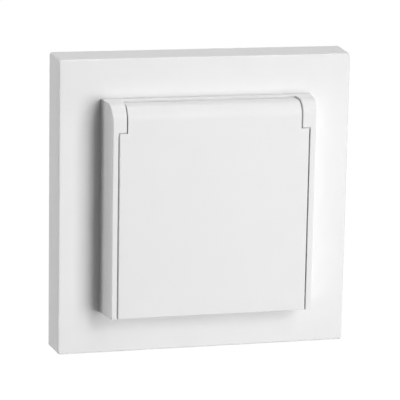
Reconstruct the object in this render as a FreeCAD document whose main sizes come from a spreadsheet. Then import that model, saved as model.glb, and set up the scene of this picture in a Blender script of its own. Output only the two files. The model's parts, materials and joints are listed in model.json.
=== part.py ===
import FreeCAD, Part
import math
import os
import Sketcher

# Flush wall socket outlet with a hinged, sprung and sealed lid.
# The wall is the plane Y = 0, the front faces -Y, +Z is up, and the origin is the
# centre of the frame's back, on the wall. All sizes are in millimetres.

SIZES = [
    # Outer frame
    ("frame_half", 41.0),
    ("frame_depth", 10.8),
    ("frame_draft", 0.45),
    ("frame_wall", 2.4),
    ("frame_front", 2.2),
    ("frame_edge_round", 0.45),
    ("frame_corner_round", 0.7),
    ("collar_wall", 1.6),
    ("frame_rib", 1.2),
    ("frame_rib_place", 13.0),
    ("shelf_back", 3.6),
    ("shelf_thick", 1.4),
    ("shelf_reach", 3.0),
    # Cover body that stands out of the frame, its foot inside the frame's window
    ("cover_half", 29.2),
    ("cover_half_height", 29.4),
    ("cover_rise", 0.45),
    ("cover_foot_step", 0.5),
    ("cover_gap", 0.25),
    ("cover_stand", 10.0),
    ("cover_side_draft", 1.15),
    ("cover_top_draft", 0.3),
    ("cover_wall", 2.0),
    ("cover_plate", 1.8),
    ("cover_gasket_thick", 1.0),
    ("cover_edge_round", 0.35),
    ("trough_wall", 0.7),
    # Rims and ears count in from the cover's sides and down from its top
    ("rim_inner", 2.67),
    ("ear_inner", 4.95),
    ("ear_bottom", 7.5),
    ("ear_round", 4.2),
    ("ear_edge_round", 0.3),
    ("ear_foot_set", 0.2),
    ("lip_depth", 2.85),
    # Lid and its hinge
    ("lid_gap", 0.3),
    ("lid_thick", 2.2),
    ("lid_skirt", 1.8),
    ("lid_head_drop", 3.0),
    ("lid_drop", 0.33),
    ("lid_round", 3.9),
    ("lid_tail", 2.7),
    ("lid_edge_round", 0.3),
    ("skirt_flare", 0.12),
    ("barrel_radius", 3.3),
    ("trough_gap", 0.26),
    ("trough_drop", 3.3),
    ("shoulder_gap", 0.2),
    ("pin_radius", 1.0),
    ("pin_running_gap", 0.05),
    ("pin_seat_gap", 0.02),
    ("pin_seat_depth", 2.6),
    ("pin_end_gap", 0.2),
    ("spring_bay_half", 7.0),
    ("spring_bay_wall", 0.8),
    ("spring_mouth_half", 2.3),
    ("spring_leg_room", 0.35),
    ("spring_leg_gap", 0.3),
    ("spring_turn_radius", 1.9),
    ("spring_wire", 0.5),
    ("spring_pitch", 0.75),
    ("spring_turns", 8),
    ("seal_inner", 19.95),
    ("seal_width", 1.2),
    ("seal_groove", 0.8),
    ("seal_side_gap", 0.1),
    ("seal_face_gap", 0.2),
    ("seal_stand", 0.9),
    ("notch_half", 8.0),
    ("notch_depth", 1.6),
    # Plug cup, held by the centre screw. Depths behind it count from its floor's front
    ("cup_inner", 19.8),
    ("cup_wall", 1.0),
    ("cup_depth", 17.5),
    ("cup_floor", 3.0),
    ("cup_flange", 1.2),
    ("cup_flange_reach", 1.0),
    ("cup_clearance", 0.2),
    ("pin_hole_offset", 9.5),
    ("pin_hole_radius", 2.65),
    ("rib_half", 2.5),
    ("rib_height", 1.9),
    ("rib_end", 3.0),
    ("rib_root", 0.4),
    ("earth_slot_half", 2.9),
    ("earth_slot_front", 13.5),
    ("earth_slot_room", 0.4),
    ("screw_radius", 1.5),
    ("screw_clearance", 0.1),
    ("screw_room", 0.2),
    ("screw_past_nut", 1.2),
    ("screw_head_radius", 2.9),
    ("screw_head_height", 1.5),
    ("screw_head_gap", 0.2),
    ("screw_recess", 0.1),
    ("screw_slot_half", 0.4),
    ("screw_slot_depth", 0.7),
    ("boss_radius", 2.4),
    # Shutter behind the cup's floor
    ("shutter_gap", 0.3),
    ("shutter_thick", 1.8),
    ("shutter_hub", 3.3),
    ("shutter_hub_reach", 1.4),
    ("shutter_bore_gap", 0.05),
    ("shutter_reach", 12.8),
    ("shutter_wing_angle", 19.0),
    ("shutter_wing_root", 1.25),
    ("shutter_well", 14.0),
    ("shutter_well_depth", 2.6),
    ("spring_well", 5.2),
    ("spring_well_depth", 2.0),
    ("shutter_spring_wire", 0.4),
    ("shutter_spring_turns", 3),
    ("shutter_spring_gap", 0.3),
    ("shutter_spring_lift", 0.1),
    ("shutter_turn_gap", 0.05),
    # Base behind the mounting ring
    ("base_radius", 26.0),
    ("base_inner_gap", 0.3),
    ("base_half_width", 22.0),
    ("base_half_height", 17.0),
    ("base_depth", 25.0),
    ("base_edge_cut", 1.0),
    ("back_cover", 1.5),
    ("shaft_radius", 3.3),
    ("shaft_end", 21.0),
    ("channel_floor", 12.4),
    # Steel mounting ring and its gasket
    ("wall_gasket_thick", 1.0),
    ("gasket_edge_gap", 0.3),
    ("gasket_slot_room", 0.5),
    ("gasket_hole", 27.0),
    ("ring_half", 35.5),
    ("ring_thick", 1.0),
    ("ring_front_gap", 0.6),
    ("ring_corner_cut", 9.0),
    ("ring_hole_gap", 0.5),
    ("box_screw_offset", 30.0),
    ("box_slot_half_width", 1.9),
    ("box_slot_length", 6.5),
    ("rivet_radius", 1.2),
    ("rivet_head", 1.9),
    ("rivet_head_height", 0.6),
    ("rivet_place", 23.55),
    ("rivet_length", 3.0),
    ("rivet_gap", 0.02),
    # Contacts and terminals
    ("contact_bore", 2.35),
    ("contact_wall", 0.6),
    ("contact_length", 9.0),
    ("contact_slit", 1.0),
    ("strap_half", 1.8),
    ("strap_length", 4.0),
    ("terminal_inner", 13.6),
    ("terminal_width", 6.8),
    ("terminal_half_height", 5.0),
    ("terminal_length", 10.0),
    ("chamber_gap", 0.3),
    ("wire_bore", 1.6),
    ("wire_bore_length", 8.5),
    ("wire_funnel", 2.1),
    ("clamp_screw_place", 5.4),
    ("clamp_screw_gap", 0.02),
    ("clamp_head_radius", 2.4),
    ("clamp_head_height", 1.5),
    ("clamp_head_set", 0.1),
    ("clamp_slot_half", 0.35),
    ("clamp_slot_depth", 0.7),
    ("clamp_tip_gap", 0.15),
    ("terminal_set", 0.2),
    ("earth_bore_length", 7.5),
    ("earth_terminal_half", 2.8),
    ("earth_terminal_low", 14.5),
    ("earth_terminal_high", 7.5),
    # Earth bracket with its two clips
    ("earth_half", 2.5),
    ("earth_thick", 0.8),
    ("earth_arm", 19.9),
    ("clip_height", 17.0),
    ("clip_tip_drop", 0.3),
    ("clip_start", 2.0),
    ("clip_middle", 7.5),
    ("clip_end", 12.5),
]

# A cutting tool runs this far past what it cuts, and joined solids share this much
OVER = 1.0
SHARE = 0.5
TINY = 0.01
LONG_EDGE = 20.0
DIAGONAL = math.sqrt(0.5)

os.makedirs("parts", exist_ok=True)
doc = FreeCAD.newDocument("hinged_socket")
sheet = doc.addObject("Spreadsheet::Sheet", "Sizes")
nodes = []


class Size:
    """A length that carries its number and the expression that ties it to the sheet."""

    def __init__(self, value, text):
        self.value = float(value)
        self.text = text

    def combine(self, other, sign, value):
        return Size(value, "(%s %s %s)" % (self.text, sign, as_size(other).text))

    def __add__(self, other):
        return self.combine(other, "+", self.value + as_size(other).value)

    def __sub__(self, other):
        return self.combine(other, "-", self.value - as_size(other).value)

    def __mul__(self, other):
        return self.combine(other, "*", self.value * as_size(other).value)

    def __truediv__(self, other):
        return self.combine(other, "/", self.value / as_size(other).value)

    def __radd__(self, other):
        return as_size(other) + self

    def __rsub__(self, other):
        return as_size(other) - self

    def __rmul__(self, other):
        return as_size(other) * self

    def __neg__(self):
        return Size(-self.value, "(0 - %s)" % self.text)


def as_size(number):
    return number if isinstance(number, Size) else Size(number, repr(float(number)))


def root(number):
    return Size(math.sqrt(number.value), "sqrt(%s)" % number.text)


def sine(degrees):
    return Size(math.sin(math.radians(degrees.value)), "sin(%s * 1 deg)" % degrees.text)


def cosine(degrees):
    return Size(math.cos(math.radians(degrees.value)), "cos(%s * 1 deg)" % degrees.text)


def read_sheet():
    sizes = {}
    for row, (alias, value) in enumerate(SIZES, start=1):
        cell = "B%d" % row
        sheet.set("A%d" % row, alias)
        sheet.set(cell, str(value))
        sheet.setAlias(cell, alias)
        sizes[alias] = Size(value, "Sizes." + alias)
    doc.recompute()
    return sizes


S = read_sheet()

# Depths along Y, counted from the wall towards the front
frame_face = -S["frame_depth"]
cover_face = frame_face - S["cover_stand"]
shelf_face = -(S["shelf_back"] + S["shelf_thick"])
cover_back = shelf_face - S["cover_gasket_thick"]
lid_inside = cover_face + S["lid_thick"]
hinge_y = cover_face + S["lid_round"]
cup_rim = lid_inside + S["seal_stand"] + S["seal_face_gap"]
plate_face = cup_rim + S["cup_flange"]
plate_back = plate_face + S["cover_plate"]
skirt_back = plate_face - S["lid_gap"]
floor_front = cup_rim + S["cup_depth"]
floor_back = floor_front + S["cup_floor"]
well_floor = floor_back + S["shutter_well_depth"]
boss_end = well_floor + S["spring_well_depth"]
channel_floor = floor_front + S["channel_floor"]
shaft_end = floor_front + S["shaft_end"]
base_end = floor_front + S["base_depth"]
terminal_front = channel_floor + S["terminal_set"]
ring_back = -S["wall_gasket_thick"]
ring_face = ring_back - S["ring_thick"]

# Heights and widths
cover_top = S["cover_rise"] + S["cover_half_height"]
cover_bottom = S["cover_rise"] - S["cover_half_height"]
cover_front_half = S["cover_half"] - S["cover_side_draft"]
cover_front_top = cover_top - S["cover_top_draft"]
cover_front_bottom = cover_bottom + S["cover_top_draft"]
ear_inner = S["cover_half"] - S["ear_inner"]
ear_bottom = cover_top - S["ear_bottom"]
rim_inner = S["cover_half"] - S["rim_inner"]
lid_top = cover_front_top - S["lid_drop"]
hinge_z = lid_top - S["lid_round"]
lid_half = rim_inner - S["lid_gap"]
barrel_half = ear_inner - S["lid_gap"]
tail_reach = root(S["lid_tail"] * S["lid_tail"] + S["lid_round"] * S["lid_round"])
trough_radius = tail_reach + S["trough_gap"]
cup_outer = S["cup_inner"] + S["cup_wall"]
flange_radius = cup_outer + S["cup_flange_reach"]
ear_arc = root(
    (hinge_y - cover_face) * (hinge_y - cover_face)
    + (hinge_z - ear_bottom) * (hinge_z - ear_bottom)
)
shoulder_arc = ear_arc + S["shoulder_gap"]
arm_slot_low = S["earth_arm"] - S["earth_slot_room"]
arm_slot_high = S["earth_arm"] + S["earth_thick"] + S["earth_slot_room"]


def role_feature(body, role):
    """The body's origin plane or axis with that role."""
    for feature in body.Origin.OriginFeatures:
        if feature.Role == role:
            return feature
    raise ValueError(role)


def new_body(label):
    body = doc.addObject("PartDesign::Body", "Body_" + label)
    body.Label = label
    nodes.append(body)
    return body


def new_sketch(body, name, role, height=None):
    """A sketch on one of the body's origin planes, moved along its normal by height.

    XZ_Plane: drawing X is +X and drawing Y is +Z, its normal is -Y.
    YZ_Plane: drawing X is +Y and drawing Y is +Z, its normal is +X.
    """
    sketch = body.newObject("Sketcher::SketchObject", name)
    sketch.AttachmentSupport = [(role_feature(body, role), "")]
    sketch.MapMode = "FlatFace"
    if height is not None:
        sketch.AttachmentOffset = FreeCAD.Placement(
            FreeCAD.Vector(0, 0, height.value), FreeCAD.Rotation()
        )
        sketch.setExpression("AttachmentOffset.Base.z", height.text)
    return sketch


def tie(sketch, kind, places, length):
    """Adds a length constraint and binds it to the sheet."""
    number = sketch.addConstraint(Sketcher.Constraint(kind, *places, length.value))
    sketch.setExpression("Constraints[%d]" % number, length.text)


def tie_point(sketch, geometry, end, u, v):
    tie(sketch, "DistanceX", (-1, 1, geometry, end), as_size(u))
    tie(sketch, "DistanceY", (-1, 1, geometry, end), as_size(v))


def draw_polygon(sketch, points):
    """Closed outline of straight edges through the points."""
    points = [(as_size(u), as_size(v)) for u, v in points]
    corners = [FreeCAD.Vector(u.value, v.value, 0) for u, v in points]
    first = sketch.GeometryCount
    for start, end in zip(corners, corners[1:] + corners[:1]):
        sketch.addGeometry(Part.LineSegment(start, end), False)
    for index, (u, v) in enumerate(points):
        after = first + (index + 1) % len(points)
        sketch.addConstraint(Sketcher.Constraint("Coincident", first + index, 2, after, 1))
        tie_point(sketch, first + index, 1, u, v)


def draw_rectangle(sketch, low_u, high_u, low_v, high_v):
    draw_polygon(
        sketch, [(low_u, low_v), (high_u, low_v), (high_u, high_v), (low_u, high_v)]
    )


def draw_arc_closed(sketch, points, centre, radius):
    """Straight edges through the points, closed by an arc about centre that runs
    counterclockwise from the last point to the first. The first and the last edge lie
    along an axis of the drawing."""
    corners = [FreeCAD.Vector(as_size(u).value, as_size(v).value, 0) for u, v in points]
    middle = FreeCAD.Vector(centre[0].value, centre[1].value, 0)
    circle = Part.Circle(middle, FreeCAD.Vector(0, 0, 1), radius.value)
    begin = circle.parameter(corners[-1])
    finish = circle.parameter(corners[0])
    if finish < begin:
        finish += 2 * math.pi
    first = sketch.GeometryCount
    for start, end in zip(corners, corners[1:]):
        sketch.addGeometry(Part.LineSegment(start, end), False)
    bend = sketch.addGeometry(Part.ArcOfCircle(circle, begin, finish), False)
    for line in range(first, bend):
        sketch.addConstraint(Sketcher.Constraint("Coincident", line, 2, line + 1, 1))
    sketch.addConstraint(Sketcher.Constraint("Coincident", bend, 2, first, 1))
    for line, (start, end) in ((first, corners[:2]), (bend - 1, corners[-2:])):
        kind = "Horizontal" if near_to(start.y, as_size(end.y)) else "Vertical"
        sketch.addConstraint(Sketcher.Constraint(kind, line))
    for line, (u, v) in enumerate(points[1:-1], start=first + 1):
        tie_point(sketch, line, 1, u, v)
    tie_point(sketch, bend, 3, *centre)
    tie(sketch, "Radius", (bend,), radius)


def draw_circle(sketch, u, v, radius):
    u, v, radius = as_size(u), as_size(v), as_size(radius)
    centre = FreeCAD.Vector(u.value, v.value, 0)
    circle = sketch.addGeometry(
        Part.Circle(centre, FreeCAD.Vector(0, 0, 1), radius.value), False
    )
    tie_point(sketch, circle, 3, u, v)
    tie(sketch, "Radius", (circle,), radius)


def pad(body, sketch, name, length, symmetric=False, reverse=False):
    feature = body.newObject("PartDesign::Pad", name)
    feature.Profile = sketch
    feature.Length = length.value
    feature.setExpression("Length", length.text)
    feature.Midplane = symmetric
    feature.Reversed = reverse
    doc.recompute()
    return feature


def pocket(body, sketch, name, length, symmetric=False, reverse=False):
    """A pocket that must take material away."""
    before = body.Shape.Volume
    feature = body.newObject("PartDesign::Pocket", name)
    feature.Profile = sketch
    feature.Length = length.value
    feature.setExpression("Length", length.text)
    feature.Midplane = symmetric
    feature.Reversed = reverse
    doc.recompute()
    if not body.Shape.Volume < before - TINY:
        raise ValueError("%s in %s cuts nothing" % (name, body.Label))
    return feature


def round_edges(body, name, radius, wanted, kind="PartDesign::Fillet"):
    """Rounds the tip's edges for which wanted(edge) is true."""
    tip = body.Tip
    names = [
        "Edge%d" % (index + 1)
        for index, edge in enumerate(tip.Shape.Edges)
        if wanted(edge)
    ]
    if not names:
        raise ValueError("%s in %s finds no edge" % (name, body.Label))
    feature = body.newObject(kind, name)
    feature.Base = (tip, names)
    size_name = "Radius" if kind.endswith("Fillet") else "Size"
    feature.setExpression(size_name, radius.text)
    doc.recompute()
    return feature


def box(name, x, y, z):
    """A Part::Box between the low and high of x, y and z."""
    item = doc.addObject("Part::Box", name)
    for (low, high), side, axis in ((x, "Length", "x"), (y, "Width", "y"), (z, "Height", "z")):
        low, high = as_size(low), as_size(high)
        item.setExpression(side, (high - low).text)
        item.setExpression("Placement.Base." + axis, low.text)
    return item


ALONG = {
    "x": FreeCAD.Rotation(FreeCAD.Vector(0, 1, 0), 90),
    "y": FreeCAD.Rotation(FreeCAD.Vector(1, 0, 0), -90),
    "z": FreeCAD.Rotation(),
}


def cylinder(name, axis, radius, start, end, u, v):
    """A Part::Cylinder along axis from start to end, at u, v on the other two axes."""
    item = doc.addObject("Part::Cylinder", name)
    item.Placement = FreeCAD.Placement(FreeCAD.Vector(), ALONG[axis])
    item.setExpression("Radius", as_size(radius).text)
    item.setExpression("Height", (as_size(end) - start).text)
    others = [letter for letter in "xyz" if letter != axis]
    places = {axis: as_size(start), others[0]: as_size(u), others[1]: as_size(v)}
    for letter, place in places.items():
        item.setExpression("Placement.Base." + letter, place.text)
    return item


def fuse(name, items):
    item = doc.addObject("Part::MultiFuse", name)
    item.Shapes = items
    item.Refine = True
    return item


def cut(name, base, tools):
    tool = tools[0] if len(tools) == 1 else fuse(name + "_tools", tools)
    item = doc.addObject("Part::Cut", name)
    item.Base = base
    item.Tool = tool
    item.Refine = True
    return item


def keep(item, label):
    item.Label = label
    nodes.append(item)
    return item


def along_y(edge):
    return abs(edge.tangentAt(edge.FirstParameter).y) > DIAGONAL


def near_to(number, size):
    return abs(number - size.value) < TINY


def on_plane_y(edge, y):
    return near_to(edge.BoundBox.YMin, y) and near_to(edge.BoundBox.YMax, y)


def cover_span(inset):
    """Low and high of X and of Z of the cover's foot outline, moved in by inset."""
    half = S["cover_half"] - inset
    tall = S["cover_half_height"] - inset
    return -half, half, S["cover_rise"] - tall, S["cover_rise"] + tall


def make_outer_frame():
    body = new_body("outer_frame")
    half = S["frame_half"]
    front_half = half - S["frame_draft"]
    back = new_sketch(body, "frame_back", "XZ_Plane")
    draw_rectangle(back, -half, half, -half, half)
    front = new_sketch(body, "frame_front_outline", "XZ_Plane", S["frame_depth"])
    draw_rectangle(front, -front_half, front_half, -front_half, front_half)
    block = body.newObject("PartDesign::AdditiveLoft", "frame_block")
    block.Profile = back
    block.Sections = [front]
    block.Ruled = True
    doc.recompute()
    round_edges(body, "frame_corners", S["frame_corner_round"], along_y)
    round_edges(
        body, "frame_front_edge", S["frame_edge_round"], lambda edge: on_plane_y(edge, frame_face)
    )
    inside = half - S["frame_wall"]
    window_inset = S["cover_foot_step"] - S["cover_gap"]
    collar_inset = window_inset - S["collar_wall"]
    hollow = new_sketch(body, "frame_hollow", "XZ_Plane")
    draw_rectangle(hollow, -inside, inside, -inside, inside)
    draw_rectangle(hollow, *cover_span(collar_inset))
    pocket(body, hollow, "frame_hollow_cut", S["frame_depth"] - S["frame_front"], reverse=True)
    behind = new_sketch(body, "collar_back", "XZ_Plane")
    draw_rectangle(behind, *cover_span(collar_inset - TINY))
    pocket(body, behind, "collar_back_cut", S["shelf_back"], reverse=True)
    window = new_sketch(body, "frame_window", "XZ_Plane", S["frame_depth"])
    draw_rectangle(window, *cover_span(window_inset))
    pocket(body, window, "frame_window_cut", shelf_face - frame_face)
    through = new_sketch(body, "shelf_hole", "XZ_Plane", S["frame_depth"])
    draw_rectangle(through, *cover_span(S["shelf_reach"]))
    pocket(body, through, "shelf_hole_cut", S["frame_depth"])
    add_frame_ribs(body, inside, collar_inset)
    return body


def add_frame_ribs(body, inside, collar_inset):
    """Stiffening ribs between the collar and the frame's outer wall, two on each side."""
    collar = cover_span(collar_inset)
    place = S["frame_rib_place"]
    wide = S["frame_rib"] / 2
    top = frame_face + S["frame_front"] - SHARE
    ribs = new_sketch(body, "frame_ribs", "XZ_Plane", -top)
    for centre in (-place, place):
        near, far = centre - wide, centre + wide
        draw_rectangle(ribs, -inside - SHARE, collar[0] + SHARE, near, far)
        draw_rectangle(ribs, collar[1] - SHARE, inside + SHARE, near, far)
        draw_rectangle(ribs, near, far, -inside - SHARE, collar[2] + SHARE)
        draw_rectangle(ribs, near, far, collar[3] - SHARE, inside + SHARE)
    pad(body, ribs, "frame_ribs_pad", ring_face - S["ring_front_gap"] - top, reverse=True)


def make_wall_gasket():
    half = S["frame_half"] - S["frame_wall"] - S["gasket_edge_gap"]
    depth = (ring_back, as_size(0))
    over = (ring_back - OVER, as_size(OVER))
    sheet_of_rubber = box("gasket_sheet", (-half, half), depth, (-half, half))
    slot_end = S["box_screw_offset"] + S["box_slot_length"] / 2 + S["gasket_slot_room"]
    slot_half = S["box_slot_half_width"] + S["gasket_slot_room"]
    tools = [
        cylinder("gasket_hole_tool", "y", S["gasket_hole"], over[0], over[1], 0, 0),
        box("gasket_slots", (-slot_end, slot_end), over, (-slot_half, slot_half)),
    ]
    keep(cut("gasket_cut", sheet_of_rubber, tools), "wall_gasket")


def make_cover_gasket():
    """Soft ring under the cover's foot, as wide as the foot's wall."""
    outer = cover_span(S["cover_foot_step"])
    inner = cover_span(S["cover_wall"])
    over = (cover_back - OVER, shelf_face + OVER)
    ring = cut(
        "cover_gasket_ring",
        box("cover_gasket_outer", outer[:2], (cover_back, shelf_face), outer[2:]),
        [box("cover_gasket_inner", inner[:2], over, inner[2:])],
    )
    keep(ring, "cover_gasket")


def draft_cover_block(body):
    """Cuts the block's four sides back to their draft, two with each pocket."""
    past = cover_face - OVER
    sides = new_sketch(body, "cover_side_wedges", "XY_Plane")
    for sign in (-1, 1):
        outside = (S["cover_half"] + OVER) * sign
        draw_polygon(sides, [
            (S["cover_half"] * sign, frame_face),
            (cover_front_half * sign, cover_face),
            (cover_front_half * sign, past),
            (outside, past),
            (outside, frame_face),
        ])
    reach = S["cover_half_height"] + S["cover_rise"] + OVER
    pocket(body, sides, "cover_side_draft_cut", reach * 2, symmetric=True)
    ends = new_sketch(body, "cover_end_wedges", "YZ_Plane")
    for waist, nose, outside in (
        (cover_top, cover_front_top, cover_top + OVER),
        (cover_bottom, cover_front_bottom, cover_bottom - OVER),
    ):
        draw_polygon(ends, [
            (frame_face, waist), (cover_face, nose), (past, nose), (past, outside),
            (frame_face, outside),
        ])
    pocket(body, ends, "cover_end_draft_cut", (S["cover_half"] + OVER) * 2, symmetric=True)


def make_cover_body():
    """Drafted square housing with hinge ears, a trough for the barrel and a round opening."""
    body = new_body("cover_body")
    waist = new_sketch(body, "cover_waist", "XZ_Plane", -frame_face)
    draw_rectangle(waist, *cover_span(0))
    pad(body, waist, "cover_block", frame_face - cover_face)
    draft_cover_block(body)
    round_edges(body, "cover_side_edges", S["cover_edge_round"], is_cover_side_edge)
    rounding = new_sketch(body, "ear_rounding", "YZ_Plane")
    draw_ear_rounding(rounding)
    pocket(body, rounding, "ear_rounding_cut", (S["cover_half"] + OVER) * 2, symmetric=True)
    foot = new_sketch(body, "cover_foot", "XZ_Plane", -cover_back)
    draw_rectangle(foot, *cover_span(S["cover_foot_step"]))
    pad(body, foot, "cover_foot_pad", cover_back - frame_face)

    recess = new_sketch(body, "lid_recess", "XZ_Plane", -cover_face)
    draw_rectangle(recess, -rim_inner, rim_inner, cover_bottom - OVER, ear_bottom)
    pocket(body, recess, "lid_recess_cut", plate_face - cover_face)
    # The ears reach down behind the lid's shoulders with faces concentric to the hinge
    for side, sign in (("left", -1), ("right", 1)):
        ear = new_sketch(body, "ear_foot_" + side, "YZ_Plane", ear_inner * sign)
        draw_ear_foot(ear)
        pad(body, ear, "ear_foot_pad_" + side, rim_inner - ear_inner + SHARE, reverse=sign < 0)

    barrel = new_sketch(body, "barrel_room", "YZ_Plane")
    draw_circle(barrel, hinge_y, hinge_z, S["barrel_radius"] + S["trough_gap"])
    pocket(body, barrel, "barrel_room_cut", ear_inner * 2, symmetric=True)
    trough = new_sketch(body, "trough", "YZ_Plane")
    draw_trough(trough)
    pocket(body, trough, "trough_cut", ear_inner * 2, symmetric=True)
    front = new_sketch(body, "trough_front", "YZ_Plane")
    lip_face = frame_face - S["lip_depth"]
    draw_polygon(front, [
        (cover_face - OVER, ear_bottom - OVER),
        (plate_face, ear_bottom - OVER),
        (plate_face, hinge_z),
        (lip_face, hinge_z),
        (lip_face, cover_top + OVER),
        (cover_face - OVER, cover_top + OVER),
    ])
    pocket(body, front, "trough_front_cut", ear_inner * 2, symmetric=True)

    cavity = new_sketch(body, "cover_cavity", "YZ_Plane")
    draw_cover_cavity(cavity)
    pocket(body, cavity, "cover_cavity_cut", (S["cover_half"] - S["cover_wall"]) * 2, symmetric=True)
    opening = new_sketch(body, "cup_opening", "XZ_Plane", -cover_face)
    draw_circle(opening, 0, 0, cup_outer + S["cup_clearance"])
    pocket(body, opening, "cup_opening_cut", cover_back - cover_face)

    seat = new_sketch(body, "pin_seats", "YZ_Plane")
    draw_circle(seat, hinge_y, hinge_z, S["pin_radius"] + S["pin_seat_gap"])
    pocket(body, seat, "pin_seats_cut", (ear_inner + S["pin_seat_depth"]) * 2, symmetric=True)

    notch = new_sketch(body, "finger_notch", "XZ_Plane", -plate_face)
    notch_top = cover_bottom + S["notch_depth"]
    draw_rectangle(notch, -S["notch_half"], S["notch_half"], cover_bottom - OVER, notch_top)
    pocket(body, notch, "finger_notch_cut", S["cover_plate"] + S["notch_depth"])
    round_edges(body, "ear_edges", S["ear_edge_round"], is_ear_edge)
    return body


def is_cover_side_edge(edge):
    """The long front edges at the outer side of the two rims."""
    span = edge.BoundBox
    outer = near_to(abs(span.Center.x), cover_front_half)
    return outer and on_plane_y(edge, cover_face) and span.ZLength > LONG_EDGE


def is_ear_edge(edge):
    """The front edges of the two ears beside the lid's head."""
    span = edge.BoundBox
    beside = near_to(abs(span.Center.x), ear_inner) and span.ZLength > TINY
    return on_plane_y(edge, cover_face) and beside


def draw_ear_rounding(sketch):
    """What comes off the block's top front edge to round it, tangent to both faces."""
    radius = S["ear_round"]
    slope = S["cover_top_draft"] / S["cover_stand"]
    stretch = root(slope * slope + 1)
    centre_y = cover_face + radius
    centre_z = cover_front_top + radius * slope - radius * stretch
    end_y = centre_y - radius * slope / stretch
    past_y = cover_face - OVER
    past_z = cover_top + OVER
    points = [
        (cover_face, centre_z), (past_y, centre_z), (past_y, past_z), (end_y, past_z),
        (end_y, centre_z + radius / stretch),
    ]
    draw_arc_closed(sketch, points, (centre_y, centre_z), radius)


def draw_ear_foot(sketch):
    """The ear's foot: an edge concentric to the hinge, the plate's plane and a straight
    top inside the ear."""
    back_y = plate_face + S["ear_foot_set"]
    drop = hinge_z - ear_bottom
    set_back = hinge_y - back_y
    points = [
        (back_y, hinge_z - root(ear_arc * ear_arc - set_back * set_back)),
        (back_y, ear_bottom),
        (hinge_y - root(ear_arc * ear_arc - drop * drop), ear_bottom),
    ]
    draw_arc_closed(sketch, points, (hinge_y, hinge_z), ear_arc)


def draw_trough(sketch):
    """Room behind the hinge for the lid's tail as it turns back and down."""
    drop = S["trough_drop"]
    floor = hinge_z - drop
    points = [
        (hinge_y, hinge_z + trough_radius),
        (hinge_y, floor),
        (hinge_y + root(trough_radius * trough_radius - drop * drop), floor),
    ]
    draw_arc_closed(sketch, points, (hinge_y, hinge_z), trough_radius)


def draw_cover_cavity(sketch):
    """Hollow behind the front plate, which keeps one wall round the hinge trough."""
    shell = trough_radius + S["trough_wall"]
    drop = S["trough_drop"] + S["trough_wall"]
    low = cover_bottom + S["cover_wall"]
    high = cover_top - S["cover_wall"]
    rise = high - hinge_z
    points = [
        (hinge_y + root(shell * shell - rise * rise), high),
        (cover_back + OVER, high),
        (cover_back + OVER, low),
        (plate_back, low),
        (plate_back, hinge_z - drop),
        (hinge_y + root(shell * shell - drop * drop), hinge_z - drop),
    ]
    draw_arc_closed(sketch, points, (hinge_y, hinge_z), shell)


def draw_lid_head(sketch):
    """Section of the lid's upper part. Its rounded front corner and its barrel are both
    concentric to the hinge, and its flat top ends in a tail."""
    corner = S["lid_round"]
    barrel = S["barrel_radius"]
    low = ear_bottom - S["lid_head_drop"]
    forward = hinge_y - lid_inside
    points = {
        "front_low": (cover_face, low),
        "front_high": (cover_face, hinge_z),
        "top_front": (hinge_y, lid_top),
        "top_back": (hinge_y + S["lid_tail"], lid_top),
        "barrel_back": (hinge_y + barrel, hinge_z),
        "barrel_front": (lid_inside, hinge_z - root(barrel * barrel - forward * forward)),
        "inside_low": (lid_inside, low),
    }
    place = {
        key: FreeCAD.Vector(as_size(u).value, as_size(v).value, 0)
        for key, (u, v) in points.items()
    }

    def line(start, end):
        return sketch.addGeometry(Part.LineSegment(place[start], place[end]), False)

    def arc(radius, start, end):
        centre = FreeCAD.Vector(hinge_y.value, hinge_z.value, 0)
        circle = Part.Circle(centre, FreeCAD.Vector(0, 0, 1), radius.value)
        begin = circle.parameter(place[start])
        finish = circle.parameter(place[end])
        if finish < begin:
            finish += 2 * math.pi
        return sketch.addGeometry(Part.ArcOfCircle(circle, begin, finish), False)

    front = line("front_low", "front_high")
    rounding = arc(corner, "top_front", "front_high")
    roof = line("top_front", "top_back")
    back = line("top_back", "barrel_back")
    barrel_arc = arc(barrel, "barrel_front", "barrel_back")
    inside = line("barrel_front", "inside_low")
    foot = line("inside_low", "front_low")
    joins = [
        (front, 2, rounding, 2), (rounding, 1, roof, 1), (roof, 2, back, 1),
        (back, 2, barrel_arc, 2), (barrel_arc, 1, inside, 1), (inside, 2, foot, 1),
        (foot, 2, front, 1),
    ]
    for join in joins:
        sketch.addConstraint(Sketcher.Constraint("Coincident", *join))
    tie_point(sketch, front, 1, *points["front_low"])
    tie_point(sketch, front, 2, *points["front_high"])
    tie_point(sketch, roof, 1, *points["top_front"])
    tie(sketch, "Radius", (rounding,), corner)
    tie_point(sketch, roof, 2, *points["top_back"])
    tie_point(sketch, back, 2, *points["barrel_back"])
    tie(sketch, "Radius", (barrel_arc,), barrel)
    tie_point(sketch, inside, 1, *points["barrel_front"])
    tie_point(sketch, inside, 2, *points["inside_low"])


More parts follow.
